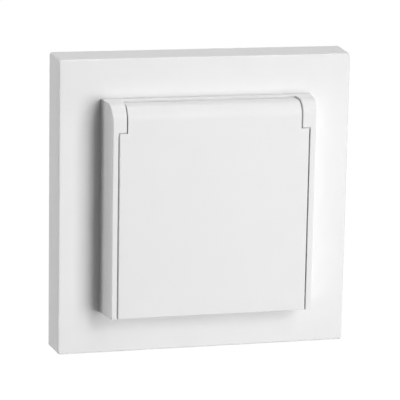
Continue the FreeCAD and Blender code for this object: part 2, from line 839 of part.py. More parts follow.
def make_lid():
    """Lid moulding: a panel with a skirt, its barrel and the groove for the seal."""
    body = new_body("lid")
    low = cover_front_bottom
    skirt_low = low - S["skirt_flare"]
    shoulder = ear_bottom
    panel = new_sketch(body, "lid_panel", "YZ_Plane")
    draw_polygon(panel, [
        (cover_face, low),
        (skirt_back, skirt_low),
        (skirt_back, low + S["lid_skirt"]),
        (lid_inside, low + S["lid_skirt"]),
        (lid_inside, shoulder),
        (cover_face, shoulder),
    ])
    pad(body, panel, "lid_panel_pad", lid_half * 2, symmetric=True)
    for side, sign in (("left", -1), ("right", 1)):
        skirt = new_sketch(body, "lid_skirt_" + side, "YZ_Plane", lid_half * sign)
        draw_polygon(skirt, [
            (lid_inside - SHARE, low + SHARE),
            (skirt_back, low + SHARE),
            (skirt_back, shoulder),
            (lid_inside - SHARE, shoulder),
        ])
        pad(body, skirt, "lid_skirt_pad_" + side, S["lid_skirt"], reverse=sign > 0)
        relief = new_sketch(body, "lid_shoulder_" + side, "YZ_Plane", lid_half * sign)
        draw_circle(relief, hinge_y, hinge_z, shoulder_arc)
        pocket(
            body, relief, "lid_shoulder_cut_" + side, lid_half - barrel_half, reverse=sign < 0
        )
    head = new_sketch(body, "lid_head", "YZ_Plane")
    draw_lid_head(head)
    pad(body, head, "lid_head_pad", barrel_half * 2, symmetric=True)

    groove = new_sketch(body, "seal_groove", "XZ_Plane", -lid_inside)
    draw_circle(groove, 0, 0, S["seal_inner"] - S["seal_side_gap"])
    draw_circle(groove, 0, 0, S["seal_inner"] + S["seal_width"] + S["seal_side_gap"])
    pocket(body, groove, "seal_groove_cut", S["seal_groove"], reverse=True)

    bore = new_sketch(body, "lid_bore", "YZ_Plane")
    draw_circle(bore, hinge_y, hinge_z, S["pin_radius"] + S["pin_running_gap"])
    pocket(body, bore, "lid_bore_cut", (barrel_half + OVER) * 2, symmetric=True)
    bay = new_sketch(body, "spring_bay", "YZ_Plane")
    draw_circle(bay, hinge_y, hinge_z, S["barrel_radius"] - S["spring_bay_wall"])
    pocket(body, bay, "spring_bay_cut", S["spring_bay_half"] * 2, symmetric=True)
    add_spring_openings(body)
    round_edges(body, "lid_front_edges", S["lid_edge_round"], is_lid_front_edge)
    round_edges(body, "lid_tail_edge", S["lid_edge_round"], is_lid_tail_edge)
    return body


def add_spring_openings(body):
    """The bay's mouth under the barrel, where the coil goes in, and the slot that keeps
    clear of the spring's leg while the lid turns round it."""
    mouth = new_sketch(body, "spring_mouth", "YZ_Plane")
    half = S["spring_mouth_half"]
    barrel_low = hinge_z - S["barrel_radius"] - OVER
    draw_rectangle(mouth, hinge_y - half, hinge_y + half, barrel_low, hinge_z)
    pocket(body, mouth, "spring_mouth_cut", S["spring_bay_half"] * 2, symmetric=True)
    leg = new_sketch(body, "spring_leg_slot", "YZ_Plane", spring_leg_x())
    room = S["spring_turn_radius"] + S["spring_wire"] + S["spring_leg_room"]
    barrel_back = hinge_y + S["barrel_radius"] + OVER
    draw_rectangle(leg, hinge_y, barrel_back, barrel_low, hinge_z + room)
    wide = S["spring_wire"] + S["spring_leg_room"] * 2
    pocket(body, leg, "spring_leg_slot_cut", wide, symmetric=True)


def is_lid_front_edge(edge):
    """The front face's two long sides and its bottom."""
    span = edge.BoundBox
    if not on_plane_y(edge, cover_face):
        return False
    side = near_to(abs(span.Center.x), lid_half) and span.ZLength > LONG_EDGE
    bottom = near_to(span.Center.z, cover_front_bottom) and span.XLength > LONG_EDGE
    return side or bottom


def is_lid_tail_edge(edge):
    """The edge at the back of the lid's flat top."""
    span = edge.BoundBox
    return on_plane_y(edge, hinge_y + S["lid_tail"]) and near_to(span.ZMin, lid_top)


def make_lid_seal():
    outer = S["seal_inner"] + S["seal_width"]
    back = cup_rim - S["seal_face_gap"]
    front = lid_inside - S["seal_groove"]
    ring = cut(
        "seal_ring",
        cylinder("seal_outer", "y", outer, front, back, 0, 0),
        [cylinder("seal_hole", "y", S["seal_inner"], front - OVER, back + OVER, 0, 0)],
    )
    keep(ring, "lid_seal")


def make_hinge_pin():
    end = ear_inner + S["pin_seat_depth"] - S["pin_end_gap"]
    keep(cylinder("pin_rod", "x", S["pin_radius"], -end, end, hinge_y, hinge_z), "hinge_pin")


def coil(name, turn_radius, wire_radius, pitch, turns):
    """A wire coil along +Z from the origin."""
    helix = doc.addObject("Part::Helix", name + "_path")
    helix.setExpression("Radius", turn_radius.text)
    helix.setExpression("Pitch", pitch.text)
    helix.setExpression("Height", (pitch * turns).text)
    helix.SegmentLength = 1
    section = doc.addObject("Part::Circle", name + "_section")
    section.setExpression("Radius", wire_radius.text)
    section.Placement = FreeCAD.Placement(
        FreeCAD.Vector(turn_radius.value, 0, 0), FreeCAD.Rotation(FreeCAD.Vector(1, 0, 0), 90)
    )
    section.setExpression("Placement.Base.x", turn_radius.text)
    doc.recompute()
    sweep = doc.addObject("Part::Sweep", name)
    sweep.Sections = [section]
    sweep.Spine = (helix, ["Edge%d" % (n + 1) for n in range(len(helix.Shape.Edges))])
    sweep.Solid = True
    sweep.Frenet = True
    return sweep


def spring_leg_x():
    """Where along the hinge the coil starts and its leg leaves for the trough."""
    return -S["spring_pitch"] * S["spring_turns"] / 2


def make_lid_spring():
    """Torsion spring: its coil, the leg down to the trough's floor and the leg in the
    lid's bay."""
    wire = S["spring_wire"] / 2
    turn = S["spring_turn_radius"]
    start_x = spring_leg_x()
    turns = coil("lid_coil", S["spring_turn_radius"], wire, S["spring_pitch"], S["spring_turns"])
    turns.Placement = FreeCAD.Placement(FreeCAD.Vector(), ALONG["x"])
    turns.setExpression("Placement.Base.x", start_x.text)
    turns.setExpression("Placement.Base.y", hinge_y.text)
    turns.setExpression("Placement.Base.z", hinge_z.text)
    floor = hinge_z - S["trough_drop"]
    floor_leg = cylinder(
        "spring_floor_leg", "z", wire, floor + S["spring_leg_gap"], hinge_z, start_x, hinge_y + turn
    )
    bay = S["barrel_radius"] - S["spring_bay_wall"]
    front_reach = root(bay * bay - turn * turn) - S["spring_leg_gap"]
    front_leg = cylinder(
        "spring_front_leg", "y", wire, hinge_y - front_reach, hinge_y, -start_x, hinge_z + turn
    )
    keep(fuse("spring_solid", [turns, floor_leg, front_leg]), "lid_spring")


def make_plug_cup():
    """Round cup with its clamping flange, floor, guide ribs and slots for the clips."""
    body = new_body("plug_cup")
    section = new_sketch(body, "cup_section", "YZ_Plane")
    draw_polygon(section, [
        (floor_front, 0),
        (floor_front, S["cup_inner"]),
        (cup_rim, S["cup_inner"]),
        (cup_rim, flange_radius),
        (plate_face, flange_radius),
        (plate_face, cup_outer),
        (floor_back, cup_outer),
        (floor_back, S["boss_radius"]),
        (boss_end, S["boss_radius"]),
        (boss_end, 0),
    ])
    turn = body.newObject("PartDesign::Revolution", "cup_turn")
    turn.Profile = section
    turn.ReferenceAxis = (role_feature(body, "Y_Axis"), [""])
    turn.Angle = 360
    doc.recompute()

    inner_floor = floor_front + SHARE
    ribs = new_sketch(body, "guide_ribs", "XZ_Plane", -inner_floor)
    rib_in = S["cup_inner"] - S["rib_height"]
    wide = S["cup_inner"] + S["rib_root"]
    draw_rectangle(ribs, rib_in, wide, -S["rib_half"], S["rib_half"])
    draw_rectangle(ribs, -wide, -rib_in, -S["rib_half"], S["rib_half"])
    pad(body, ribs, "guide_ribs_pad", S["cup_depth"] + SHARE - S["rib_end"])

    before_floor = OVER - floor_front
    holes = new_sketch(body, "pin_holes", "XZ_Plane", before_floor)
    for sign in (-1, 1):
        draw_circle(holes, S["pin_hole_offset"] * sign, 0, S["pin_hole_radius"])
    pocket(body, holes, "pin_holes_cut", S["cup_floor"] + OVER * 2)
    head = new_sketch(body, "screw_seat", "XZ_Plane", before_floor)
    draw_circle(head, 0, 0, S["screw_head_radius"] + S["screw_head_gap"])
    pocket(body, head, "screw_seat_cut", S["screw_head_height"] + S["screw_recess"] + OVER)
    shank = new_sketch(body, "screw_way", "XZ_Plane", before_floor)
    draw_circle(shank, 0, 0, S["screw_radius"] + S["screw_clearance"])
    pocket(body, shank, "screw_way_cut", boss_end - floor_front + OVER * 2)
    slots = new_sketch(body, "clip_slots", "XZ_Plane", S["earth_slot_front"] - floor_front)
    high = cup_outer + OVER
    for low_z, high_z in ((arm_slot_low, high), (-high, -arm_slot_low)):
        draw_rectangle(slots, -S["earth_slot_half"], S["earth_slot_half"], low_z, high_z)
    pocket(body, slots, "clip_slots_cut", S["earth_slot_front"] + S["cup_floor"] + OVER)
    return body


def make_centre_screw():
    """Pan head screw that clamps cup, cover and frame to the earth bracket."""
    head_face = floor_front + S["screw_recess"]
    seat = head_face + S["screw_head_height"]
    tip = channel_floor + S["earth_thick"] + S["screw_past_nut"]
    head = cylinder("screw_head", "y", S["screw_head_radius"], head_face, seat, 0, 0)
    shank = cylinder("screw_shank", "y", S["screw_radius"], seat - SHARE, tip, 0, 0)
    wide = S["screw_head_radius"] + OVER
    slot = box(
        "screw_slot", (-wide, wide), (head_face - OVER, head_face + S["screw_slot_depth"]),
        (-S["screw_slot_half"], S["screw_slot_half"]),
    )
    keep(cut("screw_solid", fuse("screw_blank", [head, shank]), [slot]), "centre_screw")


def make_shutter():
    """Rotor with two wings that close the pin holes."""
    body = new_body("shutter")
    front = floor_back + S["shutter_gap"]
    hub_end = well_floor + S["shutter_hub_reach"]
    bore = S["boss_radius"] + S["shutter_bore_gap"]
    hub = new_sketch(body, "shutter_hub", "XZ_Plane", -front)
    draw_circle(hub, 0, 0, S["shutter_hub"])
    draw_circle(hub, 0, 0, bore)
    pad(body, hub, "shutter_hub_pad", hub_end - front, reverse=True)
    wings = new_sketch(body, "shutter_wings", "XZ_Plane", -front)
    reach = S["shutter_reach"]
    rise = reach * sine(S["shutter_wing_angle"])
    width = reach * cosine(S["shutter_wing_angle"])
    root_z = S["shutter_wing_root"]
    root_x = root(S["shutter_hub"] * S["shutter_hub"] - root_z * root_z)
    for sign in (-1, 1):
        draw_polygon(wings, [
            (root_x * sign, -root_z),
            (width * sign, -rise),
            (reach * sign, -rise / 2),
            (reach * sign, rise / 2),
            (width * sign, rise),
            (root_x * sign, root_z),
        ])
    pad(body, wings, "shutter_wings_pad", S["shutter_thick"], reverse=True)
    return body


def make_shutter_spring():
    wire = S["shutter_spring_wire"] / 2
    turn = S["shutter_hub"] + S["shutter_spring_gap"] + wire
    pitch = S["shutter_spring_wire"] + S["shutter_turn_gap"]
    turns = coil("shutter_coil", turn, wire, pitch, S["shutter_spring_turns"])
    turns.Placement = FreeCAD.Placement(FreeCAD.Vector(), ALONG["y"])
    turns.setExpression("Placement.Base.y", (well_floor + wire + S["shutter_spring_lift"]).text)
    keep(turns, "shutter_spring")


def make_base():
    """Insulating base: collar, floor with the shutter's well, and the contact block."""
    inner = cup_outer + S["base_inner_gap"]
    half_x = S["base_half_width"]
    half_z = S["base_half_height"]
    depth = base_end
    collar = cylinder("base_collar", "y", S["base_radius"], ring_back, well_floor, 0, 0)
    block = trimmed_block("base_block", (well_floor - SHARE, depth))
    tools = [
        cylinder("base_mouth", "y", inner, ring_back - OVER, floor_back, 0, 0),
        cylinder("shutter_room", "y", S["shutter_well"], floor_back - OVER, well_floor, 0, 0),
        cylinder("spring_room", "y", S["spring_well"], well_floor - OVER, boss_end, 0, 0),
        cylinder("screw_room", "y", S["screw_radius"] + S["screw_room"], boss_end - OVER, depth, 0, 0),
        box(
            "earth_channel", (-S["earth_slot_half"], S["earth_slot_half"]),
            (channel_floor, depth + OVER), (-half_z - OVER, half_z + OVER),
        ),
    ]
    gap = S["chamber_gap"]
    chamber_start = S["terminal_inner"] - gap
    chamber_end = S["terminal_inner"] + S["terminal_width"] + gap
    chamber_floor = terminal_front - gap
    half_room = S["terminal_half_height"] + gap
    screw_y = terminal_front + S["clamp_screw_place"]
    for side, sign in (("left", -1), ("right", 1)):
        place = S["pin_hole_offset"] * sign
        tools.append(cylinder(
            "contact_shaft_" + side, "y", S["shaft_radius"], well_floor - OVER, shaft_end, place, 0
        ))
        room = in_order(chamber_start * sign, chamber_end * sign)
        tools.append(box(
            "terminal_room_" + side, room, (chamber_floor, depth + OVER), (-half_room, half_room)
        ))
        way = in_order(place, (chamber_start + SHARE) * sign)
        strap = S["strap_half"] + gap
        tools.append(box(
            "strap_way_" + side, way, (chamber_floor, depth + OVER), (-strap, strap)
        ))
        near, far = in_order((chamber_end - SHARE) * sign, (half_x + OVER) * sign)
        tools.append(cylinder(
            "driver_hole_" + side, "x", S["clamp_head_radius"] + gap, near, far, screw_y, 0
        ))
    wide = S["earth_slot_half"]
    for side, sign in (("top", 1), ("bottom", -1)):
        slot = in_order(arm_slot_low * sign, arm_slot_high * sign)
        tools.append(box(
            "arm_slot_" + side, (-wide, wide), (floor_back - OVER, well_floor + OVER), slot
        ))
    for number, (x, z) in enumerate(rivet_places()):
        tools.append(cylinder(
            "rivet_hole_%d" % number, "y", S["rivet_radius"] + S["rivet_gap"],
            ring_back - OVER, ring_back + S["rivet_length"], x, z,
        ))
    keep(cut("base_cut", fuse("base_blank", [collar, block]), tools), "base")


def in_order(first, second):
    return (first, second) if first.value < second.value else (second, first)


def trimmed_block(name, y):
    """The base's outline between the two ends of y, its four long edges cut off by a
    box that stands on its corner."""
    half_x = S["base_half_width"]
    half_z = S["base_half_height"]
    reach = half_x + half_z - S["base_edge_cut"]
    side = reach / DIAGONAL
    plain = box(name + "_plain", (-half_x, half_x), y, (-half_z, half_z))
    turned = box(name + "_turned", (-reach, side - reach), y, (0, side))
    turned.Placement = FreeCAD.Placement(
        FreeCAD.Vector(), FreeCAD.Rotation(FreeCAD.Vector(0, 1, 0), 45)
    )
    item = doc.addObject("Part::MultiCommon", name)
    item.Shapes = [plain, turned]
    return item


def rivet_places():
    """X and Z of the four rivets that hold the base to the ring."""
    reach = S["rivet_place"] * DIAGONAL
    return [(reach * x, reach * z) for x, z in ((1, 1), (-1, 1), (-1, -1), (1, -1))]


def make_rear_cover():
    """Insulating plate over the terminals, with a hole for each wire."""
    back = base_end + S["back_cover"]
    plate = trimmed_block("rear_plate", (base_end, back))
    tools = [
        cylinder("rear_hole_" + side, "y", S["wire_funnel"], base_end - OVER, back + OVER, x, z)
        for side, x, z in wire_places()
    ]
    keep(cut("rear_cut", plate, tools), "rear_cover")


def wire_places():
    """Where the three wires go in: name, X and Z."""
    out = S["terminal_inner"] + S["terminal_width"] / 2
    low = -(S["earth_terminal_low"] + S["earth_terminal_high"]) / 2
    return [("left", -out, as_size(0)), ("right", out, as_size(0)), ("earth", as_size(0), low)]


def make_contacts():
    """Split sleeves that grip the plug's pins, each with a strap to its terminal."""
    inner = S["contact_bore"]
    outer = inner + S["contact_wall"]
    start = boss_end
    end = start + S["contact_length"]
    strap_start = end - S["strap_length"]
    for side, sign in (("left", -1), ("right", 1)):
        place = S["pin_hole_offset"] * sign
        sleeve = cylinder("sleeve_" + side, "y", outer, start, end, place, 0)
        reach = in_order(
            place + (inner + S["contact_wall"] / 2) * sign, S["terminal_inner"] * sign
        )
        strap = box(
            "strap_" + side, reach, (strap_start, end), (-S["strap_half"], S["strap_half"])
        )
        split = in_order(place, place - (outer + OVER) * sign)
        slit = S["contact_slit"] / 2
        over = (start - OVER, end + OVER)
        tools = [
            cylinder("sleeve_bore_" + side, "y", inner, over[0], over[1], place, 0),
            box("sleeve_slit_" + side, split, over, (-slit, slit)),
        ]
        blank = fuse("contact_blank_" + side, [sleeve, strap])
        keep(cut("contact_cut_" + side, blank, tools), "contact_" + side)


def make_terminals():
    """The two side terminals: a brass block with a wire bore, and its clamping screw."""
    front = terminal_front
    back = front + S["terminal_length"]
    bore_start = back - S["wire_bore_length"]
    screw_y = front + S["clamp_screw_place"]
    hole = S["screw_radius"] + S["clamp_screw_gap"]
    half_z = S["terminal_half_height"]
    slot_reach = S["clamp_head_radius"] + OVER
    for (side, x, z), sign in zip(wire_places()[:2], (-1, 1)):
        outside = (S["terminal_inner"] + S["terminal_width"]) * sign
        span = in_order(S["terminal_inner"] * sign, outside)
        block = box("terminal_block_" + side, span, (front, back), (-half_z, half_z))
        near, far = in_order(x, outside + OVER * sign)
        tools = [
            cylinder("wire_bore_" + side, "y", S["wire_bore"], bore_start, back + OVER, x, z),
            cylinder("thread_" + side, "x", hole, near, far, screw_y, 0),
        ]
        keep(cut("terminal_cut_" + side, block, tools), "terminal_" + side)
        tip = x + (S["wire_bore"] + S["clamp_tip_gap"]) * sign
        head_start = outside + S["clamp_head_set"] * sign
        head_end = head_start + S["clamp_head_height"] * sign
        near, far = in_order(tip, head_start + SHARE * sign)
        shank = cylinder("clamp_shank_" + side, "x", S["screw_radius"], near, far, screw_y, 0)
        near, far = in_order(head_start, head_end)
        head = cylinder("clamp_head_" + side, "x", S["clamp_head_radius"], near, far, screw_y, 0)
        slot_span = in_order(head_end - S["clamp_slot_depth"] * sign, head_end + OVER * sign)
        slot = box(
            "clamp_slot_" + side, slot_span, (screw_y - slot_reach, screw_y + slot_reach),
            (-S["clamp_slot_half"], S["clamp_slot_half"]),
        )
        blank = fuse("clamp_blank_" + side, [shank, head])
        keep(cut("clamp_cut_" + side, blank, [slot]), "terminal_screw_" + side)


def make_earth_terminal():
    """Brass block on the earth bracket, with its wire bore and clamping screw."""
    front = channel_floor + S["earth_thick"]
    back = terminal_front + S["terminal_length"]
    bore_start = back - S["earth_bore_length"]
    half = S["earth_terminal_half"]
    low = -S["earth_terminal_low"]
    high = -S["earth_terminal_high"]
    middle = wire_places()[2][2]
    screw_y = terminal_front + S["clamp_screw_place"]
    hole = S["screw_radius"] + S["clamp_screw_gap"]
    block = box("earth_block", (-half, half), (front, back), (low, high))
    tools = [
        cylinder("wire_bore_earth", "y", S["wire_bore"], bore_start, back + OVER, 0, middle),
        cylinder("thread_earth", "z", hole, low - OVER, middle, 0, screw_y),
    ]
    keep(cut("earth_block_cut", block, tools), "terminal_earth")
    tip = middle - S["wire_bore"] - S["clamp_tip_gap"]
    head_top = low - S["clamp_head_set"]
    head_low = head_top - S["clamp_head_height"]
    shank = cylinder("clamp_shank_earth", "z", S["screw_radius"], head_top - SHARE, tip, 0, screw_y)
    head = cylinder("clamp_head_earth", "z", S["clamp_head_radius"], head_low, head_top, 0, screw_y)
    slot_reach = S["clamp_head_radius"] + OVER
    slot = box(
        "clamp_slot_earth", (-S["clamp_slot_half"], S["clamp_slot_half"]),
        (screw_y - slot_reach, screw_y + slot_reach), (head_low - OVER, head_low + S["clamp_slot_depth"]),
    )
    blank = fuse("clamp_blank_earth", [shank, head])
    keep(cut("clamp_cut_earth", blank, [slot]), "terminal_screw_earth")


def make_earth_bracket():
    """Bent strip: a bridge behind the block, two arms and their sprung clips."""
    body = new_body("earth_bracket")
    thick = S["earth_thick"]
    front = channel_floor
    back = front + thick
    arm = S["earth_arm"]
    start = floor_front - S["clip_start"]
    middle = floor_front - S["clip_middle"]
    end = floor_front - S["clip_end"]
    clip = S["clip_height"]
    end_z = arm - S["clip_tip_drop"]
    section = new_sketch(body, "bracket_section", "YZ_Plane")
    upper = [
        (back, arm + thick), (start, arm + thick), (middle, clip + thick), (end, end_z + thick),
        (end, end_z), (middle, clip), (start, arm), (front, arm),
    ]
    lower = [(u, -v) for u, v in reversed(upper)]
    draw_polygon(section, upper + lower)
    pad(body, section, "bracket_pad", S["earth_half"] * 2, symmetric=True)
    thread = new_sketch(body, "bracket_thread", "XZ_Plane", OVER - front)
    draw_circle(thread, 0, 0, S["screw_radius"] + S["clamp_screw_gap"])
    pocket(body, thread, "bracket_thread_cut", thick + OVER * 2)
    return body


def make_support_ring():
    """Flat steel ring with cut corners and slots for the wall box's screws."""
    body = new_body("support_ring")
    half = S["ring_half"]
    corner = half - S["ring_corner_cut"]
    outline = new_sketch(body, "ring_outline", "XZ_Plane", -ring_back)
    draw_polygon(outline, [
        (-half, -corner), (-corner, -half), (corner, -half), (half, -corner),
        (half, corner), (corner, half), (-corner, half), (-half, corner),
    ])
    draw_circle(outline, 0, 0, cup_outer + S["ring_hole_gap"])
    pad(body, outline, "ring_plate", S["ring_thick"])
    slots = new_sketch(body, "box_screw_slots", "XZ_Plane", -ring_face)
    radius = S["box_slot_half_width"]
    reach = S["box_slot_length"] / 2 - radius
    for sign in (-1, 1):
        draw_slot(slots, S["box_screw_offset"] * sign, as_size(0), reach, radius)
    pocket(body, slots, "box_screw_slots_cut", S["ring_thick"] + OVER)
    rivets = new_sketch(body, "ring_rivet_holes", "XZ_Plane", -ring_face)
    for x, z in rivet_places():
        draw_circle(rivets, x, z, S["rivet_radius"] + S["rivet_gap"])
    pocket(body, rivets, "ring_rivet_holes_cut", S["ring_thick"] + OVER)
    return body


def draw_slot(sketch, u, v, reach, radius):
    """Slot along the drawing's X with round ends, centred at u, v."""
    left = u - reach
    right = u + reach
    normal = FreeCAD.Vector(0, 0, 1)
    left_centre = FreeCAD.Vector(left.value, v.value, 0)
    right_centre = FreeCAD.Vector(right.value, v.value, 0)
    right_end = sketch.addGeometry(Part.ArcOfCircle(
        Part.Circle(right_centre, normal, radius.value), -math.pi / 2, math.pi / 2
    ), False)
    left_end = sketch.addGeometry(Part.ArcOfCircle(
        Part.Circle(left_centre, normal, radius.value), math.pi / 2, 3 * math.pi / 2
    ), False)
    rise = FreeCAD.Vector(0, radius.value, 0)
    top = sketch.addGeometry(Part.LineSegment(right_centre + rise, left_centre + rise), False)
    bottom = sketch.addGeometry(Part.LineSegment(left_centre - rise, right_centre - rise), False)
    for join in (
        (right_end, 2, top, 1), (top, 2, left_end, 1), (left_end, 2, bottom, 1), (bottom, 2, right_end, 1)
    ):
        sketch.addConstraint(Sketcher.Constraint("Tangent", *join))
    tie_point(sketch, right_end, 3, right, v)
    tie_point(sketch, left_end, 3, left, v)
    tie(sketch, "Radius", (right_end,), radius)


def make_ring_rivets():
    """Four rivets that hold the base behind the ring, as one group."""
    items = []
    end = ring_back + S["rivet_length"]
    start = ring_face - S["rivet_head_height"] / 2
    for number, (x, z) in enumerate(rivet_places()):
        shank = cylinder("rivet_shank_%d" % number, "y", S["rivet_radius"], start, end, x, z)
        head = cylinder(
            "rivet_head_%d" % number, "y", S["rivet_head"],
            ring_face - S["rivet_head_height"], ring_face, x, z,
        )
        items += [shank, head]
    keep(fuse("rivet_group", items), "ring_rivets")


def build():
    make_outer_frame()
    make_wall_gasket()
    make_cover_gasket()
    make_cover_body()
    make_lid()
    make_lid_seal()
    make_hinge_pin()
    make_lid_spring()
    make_plug_cup()
    make_centre_screw()
    make_shutter()
    make_shutter_spring()
    make_base()
    make_rear_cover()
    make_contacts()
    make_terminals()
    make_earth_terminal()
    make_earth_bracket()
    make_support_ring()
    make_ring_rivets()


def check_document():
    for item in doc.Objects:
        if "Invalid" in item.State or "Error" in item.State:
            raise ValueError("%s (%s) failed: %s" % (item.Name, item.Label, item.State))
    for node in nodes:
        if node.Shape.isNull() or not node.Shape.isValid():
            raise ValueError("%s has no valid shape" % node.Label)


def write_parts():
    for node in nodes:
        node.Shape.exportStep("parts/%s.step" % node.Label)


build()
doc.recompute()
check_document()
write_parts()
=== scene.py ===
import json
import math
import bpy
from mathutils import Matrix, Vector

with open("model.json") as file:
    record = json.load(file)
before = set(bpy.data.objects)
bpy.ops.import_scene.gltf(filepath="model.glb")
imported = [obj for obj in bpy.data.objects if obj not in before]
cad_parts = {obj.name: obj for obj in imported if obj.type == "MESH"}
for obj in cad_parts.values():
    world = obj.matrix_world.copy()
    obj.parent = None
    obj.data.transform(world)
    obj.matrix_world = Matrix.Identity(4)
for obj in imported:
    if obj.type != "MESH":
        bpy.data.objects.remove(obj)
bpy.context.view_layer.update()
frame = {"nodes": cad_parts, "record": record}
NODES = frame["nodes"]
SLOT_OF = {part["node"]: part["material_slot"] for part in frame["record"]["subparts"]}

# Camera: place, aim and roll solved from the straight edges in the picture, in metres
CAMERA_PLACE = Vector((-0.159635, -0.602101, 0.135404))
CAMERA_AIM = Vector((0.25266, 0.94352, -0.21432)).normalized()
CAMERA_ROLL = math.radians(1.05)

# Lens and sensor width in millimetres
LENS = 207.0
SENSOR = 36.0

# Floor: drop below the part and size in metres, colours, and the share of glow in its look
FLOOR_DROP = 0.6
FLOOR_SIZE = 30.0
FLOOR_DARK = (0.85, 0.85, 0.85)
FLOOR_PALE = (0.87, 0.87, 0.87)
FLOOR_ROUGHNESS = 0.9
FLOOR_GLOW_SHARE = 0.8

# World: its light on the part, and what reflections see of it. That is dim towards the camera's
# side and rises to full. Both limits are the Y of a direction, from -1 to 1.
WORLD_LIGHT = 0.0
ROOM_DIM = 0.4
ROOM_FULL = 1.0
ROOM_DIM_BELOW_Y = -0.9
ROOM_FULL_ABOVE_Y = 0.1

# Scale of each noise texture, over coordinates in metres
PLASTIC_TINT_SCALE = 60.0
PLASTIC_GLOSS_SCALE = 220.0
METAL_TINT_SCALE = 400.0
METAL_GLOSS_SCALE = 900.0
FLOOR_TINT_SCALE = 3.0

# Octaves of finer noise in each texture
PLAIN_DETAIL = 3.0
PLASTIC_SKIN_DETAIL = 2.0
METAL_TINT_DETAIL = 5.0
METAL_SKIN_DETAIL = 4.0

# The range that most of a noise's values lie in
NOISE_LOW = 0.3
NOISE_HIGH = 0.7

BEVEL_SAMPLES = 6

# Colours that the two white plastics share, and the colour of the background
WHITE_DARK = (0.765, 0.765, 0.765)
WHITE_PALE = (0.785, 0.785, 0.785)
BACKGROUND_WHITE = (1.0, 1.0, 1.0, 1.0)


def link(tree, source, output, target, socket):
    tree.links.new(source.outputs[output], target.inputs[socket])


def new_material(name):
    material = bpy.data.materials.new(name)
    material.use_nodes = True
    tree = material.node_tree
    shader = tree.nodes["Principled BSDF"]
    return material, tree, shader


def noise(tree, scale, detail=PLAIN_DETAIL):
    """Noise over the object's own coordinates, which are metres in the shared frame."""
    place = tree.nodes.new("ShaderNodeTexCoord")
    texture = tree.nodes.new("ShaderNodeTexNoise")
    texture.inputs["Scale"].default_value = scale
    texture.inputs["Detail"].default_value = detail
    link(tree, place, "Object", texture, "Vector")
    return texture


def map_range(tree, source, output, low, high, new_low, new_high):
    """The source's output, with low..high stretched to new_low..new_high."""
    ramp = tree.nodes.new("ShaderNodeMapRange")
    ramp.inputs["From Min"].default_value = low
    ramp.inputs["From Max"].default_value = high
    ramp.inputs["To Min"].default_value = new_low
    ramp.inputs["To Max"].default_value = new_high
    link(tree, source, output, ramp, "Value")
    return ramp


def tint(tree, shader, texture, dark, pale):
    """A base colour that drifts between dark and pale with the texture."""
    mix = tree.nodes.new("ShaderNodeMix")
    mix.data_type = "RGBA"
    mix.inputs["A"].default_value = (*dark, 1.0)
    mix.inputs["B"].default_value = (*pale, 1.0)
    link(tree, texture, "Fac", mix, "Factor")
    link(tree, mix, "Result", shader, "Base Color")


def gloss(tree, shader, texture, smooth, rough):
    """A roughness that wanders between smooth and rough with the texture."""
    ramp = map_range(tree, texture, "Fac", NOISE_LOW, NOISE_HIGH, smooth, rough)
    link(tree, ramp, "Result", shader, "Roughness")


def relief(tree, shader, texture, height, edge):
    """Fine bumps, and edges that catch the light as if rounded by edge metres."""
    bump = tree.nodes.new("ShaderNodeBump")
    bump.inputs["Distance"].default_value = height
    link(tree, texture, "Fac", bump, "Height")
    if edge:
        soft = tree.nodes.new("ShaderNodeBevel")
        soft.samples = BEVEL_SAMPLES
        soft.inputs["Radius"].default_value = edge
        link(tree, soft, "Normal", bump, "Normal")
    link(tree, bump, "Normal", shader, "Normal")


def plastic(name, dark, pale, smooth, rough, grain, height, edge=0.0, mottle=PLASTIC_TINT_SCALE):
    """Moulded plastic or rubber: a colour that drifts or speckles, uneven gloss and a fine skin.

    Mottle and grain are the scales of the colour's and the skin's noise. Height and edge are metres.
    """
    material, tree, shader = new_material(name)
    tint(tree, shader, noise(tree, mottle), dark, pale)
    gloss(tree, shader, noise(tree, PLASTIC_GLOSS_SCALE), smooth, rough)
    relief(tree, shader, noise(tree, grain, PLASTIC_SKIN_DETAIL), height, edge)
    return material


def metal(name, dark, pale, smooth, rough, grain, height, edge=0.0):
    """Stamped or turned metal with uneven polish and fine marks.

    Grain is the scale of the marks' noise. Height and edge are metres.
    """
    material, tree, shader = new_material(name)
    shader.inputs["Metallic"].default_value = 1.0
    tint(tree, shader, noise(tree, METAL_TINT_SCALE, METAL_TINT_DETAIL), dark, pale)
    gloss(tree, shader, noise(tree, METAL_GLOSS_SCALE, METAL_SKIN_DETAIL), smooth, rough)
    relief(tree, shader, noise(tree, grain, METAL_SKIN_DETAIL), height, edge)
    return material


def white_plastic(name):
    """The frame, the cover body and the lid: a smooth satin white."""
    return plastic(
        name, dark=WHITE_DARK, pale=WHITE_PALE, smooth=0.48, rough=0.58,
        grain=9000.0, height=2.0e-6, edge=1.2e-4,
    )


def white_gloss_plastic(name):
    """The plug cup: the same white, glossier."""
    return plastic(
        name, dark=WHITE_DARK, pale=WHITE_PALE, smooth=0.18, rough=0.26,
        grain=5000.0, height=1.0e-6, edge=2.0e-4,
    )


def seal_rubber(name):
    """The two gaskets and the lid's seal: speckled dark grey."""
    return plastic(
        name, dark=(0.07, 0.073, 0.077), pale=(0.125, 0.129, 0.135), smooth=0.6, rough=0.8,
        grain=3000.0, height=2.0e-5, mottle=900.0,
    )


def shutter_plastic(name):
    """The shutter: a plain off-white."""
    return plastic(
        name, dark=(0.62, 0.62, 0.59), pale=(0.66, 0.66, 0.63), smooth=0.4, rough=0.5,
        grain=8000.0, height=2.0e-6, edge=1.5e-4,
    )


def base_plastic(name):
    """The base and its rear cover: mineral-filled thermoset with a speckle."""
    return plastic(
        name, dark=(0.55, 0.55, 0.51), pale=(0.68, 0.68, 0.64), smooth=0.45, rough=0.65,
        grain=2500.0, height=1.0e-5, edge=2.5e-4, mottle=1400.0,
    )


